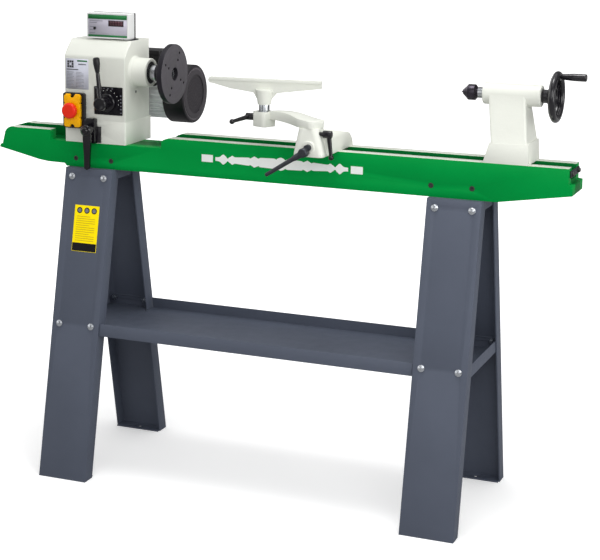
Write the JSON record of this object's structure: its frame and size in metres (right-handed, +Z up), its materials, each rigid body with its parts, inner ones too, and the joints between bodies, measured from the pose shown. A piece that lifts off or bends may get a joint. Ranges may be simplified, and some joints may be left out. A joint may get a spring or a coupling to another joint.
{
  "type": "wood lathe",
  "caption": "Free-standing wood lathe: channel-leg stand with tray, slotted bed, swivelling belt-drive headstock with faceplate, swing-arm tool rest and screw-feed tailstock.",
  "frame": {"origin": "on the floor, at the centre of the four floor-bolt holes in the feet, directly below the spindle line", "axes": "+X along the bed from headstock to tailstock, +Y to the back away from the operator, +Z up"},
  "size_m": [1.505, 0.4675, 1.154],
  "materials": {
    "bed_green": "satin green paint, machined grey on the ways",
    "casting_cream": "cream paint over a casting",
    "stand_grey": "slate grey powder coat",
    "bolt_chrome": "bright plated",
    "steel": "turned steel",
    "black_iron": "black finished iron",
    "lever_black": "semi-gloss black",
    "dark_steel": "dark blued steel",
    "motor_silver": "bare cast aluminium",
    "pulley_aluminium": "machined",
    "steel_solid": "laminated steel and shaft",
    "black_plastic": "moulded, satin",
    "brass": "nickel-brass fitting",
    "rubber_black": "matt",
    "case_white": "white moulded case",
    "switch_yellow": "gloss yellow",
    "knob_red": "gloss red",
    "button_green": "gloss green"
  },
  "bodies": {
    "frame": {"leg_front_left": "stand_grey", "leg_front_right": "stand_grey", "leg_back_left": "stand_grey", "leg_back_right": "stand_grey", "top_bracket_left": "stand_grey", "top_bracket_right": "stand_grey", "shelf_tray": "stand_grey", "stand_bolts": "bolt_chrome", "stand_nuts": "bolt_chrome", "bed": "bed_green", "bed_screws": "dark_steel", "end_stop_bar": "dark_steel", "end_stop_screws": "dark_steel"},
    "headstock": {"headstock_base": "casting_cream", "swivel_bolt": "steel", "headstock_housing": "casting_cream", "belt_cover": "lever_black", "spindle_bearings": "steel", "motor_body": "motor_silver", "fan_cover": "lever_black", "terminal_box": "black_plastic", "motor_cable": "rubber_black", "cable_gland": "brass", "drive_belt": "rubber_black", "speed_dial_plate": "black_plastic", "lock_bracket": "lever_black", "switch_box": "black_plastic", "display_case": "case_white"},
    "spindle_group": {"spindle": "steel", "spindle_pulley": "pulley_aluminium", "faceplate": "black_iron"},
    "motor_rotor": {"motor_shaft": "steel_solid", "motor_pulley": "pulley_aluminium", "cooling_fan": "black_plastic"},
    "speed_lever": {"speed_lever": "lever_black", "speed_lever_grip": "black_plastic"},
    "swivel_lock": {"swivel_lock_lever": "lever_black"},
    "switch_cover": {"switch_cover": "switch_yellow"},
    "stop_knob": {"stop_knob": "knob_red"},
    "start_button": {"start_button": "button_green"},
    "display_button": {"display_button": "black_plastic"},
    "rest_clamp": {"rest_clamp": "steel"},
    "rest_base": {"rest_base": "casting_cream"},
    "rest_clamp_lever": {"rest_clamp_lever": "dark_steel"},
    "swing_arm": {"swing_arm": "casting_cream"},
    "arm_lock_lever": {"arm_lock_lever": "lever_black"},
    "post_bush": {"post_bush": "steel"},
    "tool_rest": {"tool_rest": "casting_cream", "rest_post": "steel"},
    "post_lock_lever": {"post_lock_lever": "lever_black"},
    "tailstock": {"tailstock_body": "casting_cream", "tail_clamp": "steel"},
    "tail_clamp_lever": {"tail_clamp_lever": "lever_black"},
    "quill": {"quill": "steel", "centre_housing": "steel"},
    "centre_point": {"centre_point": "steel"},
    "feed_screw": {"leadscrew": "steel", "handwheel": "black_iron"},
    "crank_grip": {"crank_grip": "black_plastic"},
    "quill_lock": {"quill_lock": "lever_black"}
  },
  "joints": [
    {"name": "headstock_swivel", "type": "hinge", "parent": "frame", "child": "headstock", "pos_m": [-0.4675, 0, 0.829], "axis": [0, 0, 1], "range_deg": [-90, 0]},
    {"name": "spindle_spin", "type": "hinge", "parent": "headstock", "child": "spindle_group", "pos_m": [-0.45, 0, 1.009], "axis": [1, 0, 0], "continuous": true},
    {"name": "motor_spin", "type": "hinge", "parent": "headstock", "child": "motor_rotor", "pos_m": [-0.45, 0.16, 0.9395], "axis": [1, 0, 0], "continuous": true},
    {"name": "speed_lever_turn", "type": "hinge", "parent": "headstock", "child": "speed_lever", "pos_m": [-0.43, -0.055, 0.935], "axis": [0, 1, 0], "range_deg": [-45, 55]},
    {"name": "swivel_lock_turn", "type": "hinge", "parent": "headstock", "child": "swivel_lock", "pos_m": [-0.473, -0.055, 0.866], "axis": [0, 1, 0], "range_deg": [-120, 0]},
    {"name": "switch_cover_hinge", "type": "hinge", "parent": "headstock", "child": "switch_cover", "pos_m": [-0.5205, -0.0716, 0.9504], "axis": [1, 0, 0], "range_deg": [-110, 0]},
    {"name": "stop_knob_press", "type": "slide", "parent": "switch_cover", "child": "stop_knob", "axis": [0, 1, 0], "range_m": [0, 0.004]},
    {"name": "start_button_press", "type": "slide", "parent": "headstock", "child": "start_button", "axis": [0, 1, 0], "range_m": [0, 0.003]},
    {"name": "display_button_press", "type": "slide", "parent": "headstock", "child": "display_button", "axis": [0, 1, 0], "range_m": [0, 0.001]},
    {"name": "tool_rest_along_bed", "type": "slide", "parent": "frame", "child": "rest_clamp", "axis": [1, 0, 0], "range_m": [-0.07, 0.23]},
    {"name": "tool_rest_across_bed", "type": "slide", "parent": "rest_clamp", "child": "rest_base", "axis": [0, 1, 0], "range_m": [-0.015, 0.06]},
    {"name": "rest_clamp_turn", "type": "hinge", "parent": "rest_base", "child": "rest_clamp_lever", "pos_m": [0.149, -0.16, 0.877], "axis": [0, 1, 0], "range_deg": [-45, 25]},
    {"name": "swing_arm_turn", "type": "hinge", "parent": "rest_base", "child": "swing_arm", "pos_m": [0.143, -0.127, 0.92], "axis": [0, 0, 1], "range_deg": [-25, 60]},
    {"name": "arm_lock_turn", "type": "hinge", "parent": "rest_base", "child": "arm_lock_lever", "pos_m": [0.185, -0.14, 0.908], "axis": [1, 0, 0], "range_deg": [-60, 60]},
    {"name": "tool_rest_turn", "type": "hinge", "parent": "swing_arm", "child": "post_bush", "pos_m": [-0.005, -0.058, 0.93], "axis": [0, 0, 1], "continuous": true},
    {"name": "tool_rest_height", "type": "slide", "parent": "post_bush", "child": "tool_rest", "axis": [0, 0, 1], "range_m": [-0.014, 0.025]},
    {"name": "post_lock_turn", "type": "hinge", "parent": "swing_arm", "child": "post_lock_lever", "pos_m": [-0.0315, -0.058, 0.925], "axis": [1, 0, 0], "range_deg": [-45, 45]},
    {"name": "tailstock_along_bed", "type": "slide", "parent": "frame", "child": "tailstock", "axis": [1, 0, 0], "range_m": [-0.3, 0.09]},
    {"name": "tail_clamp_turn", "type": "hinge", "parent": "tailstock", "child": "tail_clamp_lever", "pos_m": [0.59, 0.06, 0.877], "axis": [0, 1, 0], "range_deg": [-40, 60]},
    {"name": "quill_feed", "type": "hinge", "parent": "tailstock", "child": "feed_screw", "pos_m": [0.66, 0, 1.009], "axis": [-1, 0, 0], "range_deg": [-540, 3600]},
    {"name": "quill_slide", "type": "slide", "parent": "tailstock", "child": "quill", "axis": [-1, 0, 0], "range_m": [-0.0061, 0.0401]},
    {"name": "centre_spin", "type": "hinge", "parent": "quill", "child": "centre_point", "pos_m": [0.48, 0, 1.009], "axis": [1, 0, 0], "continuous": true},
    {"name": "crank_grip_spin", "type": "hinge", "parent": "feed_screw", "child": "crank_grip", "pos_m": [0.7, 0, 1.056], "axis": [1, 0, 0], "continuous": true},
    {"name": "quill_lock_turn", "type": "hinge", "parent": "tailstock", "child": "quill_lock", "pos_m": [0.56, 0.03, 1.009], "axis": [0, 1, 0], "range_deg": [-60, 60]}
  ],
  "couplings": [
    {"joint": "motor_spin", "follows": "spindle_spin", "ratio": 0.9},
    {"joint": "swivel_lock_turn", "follows": "headstock_swivel", "ratio": 1.3333},
    {"joint": "quill_slide", "follows": "quill_feed", "m_per_rad": 0.00063662}
  ]
}
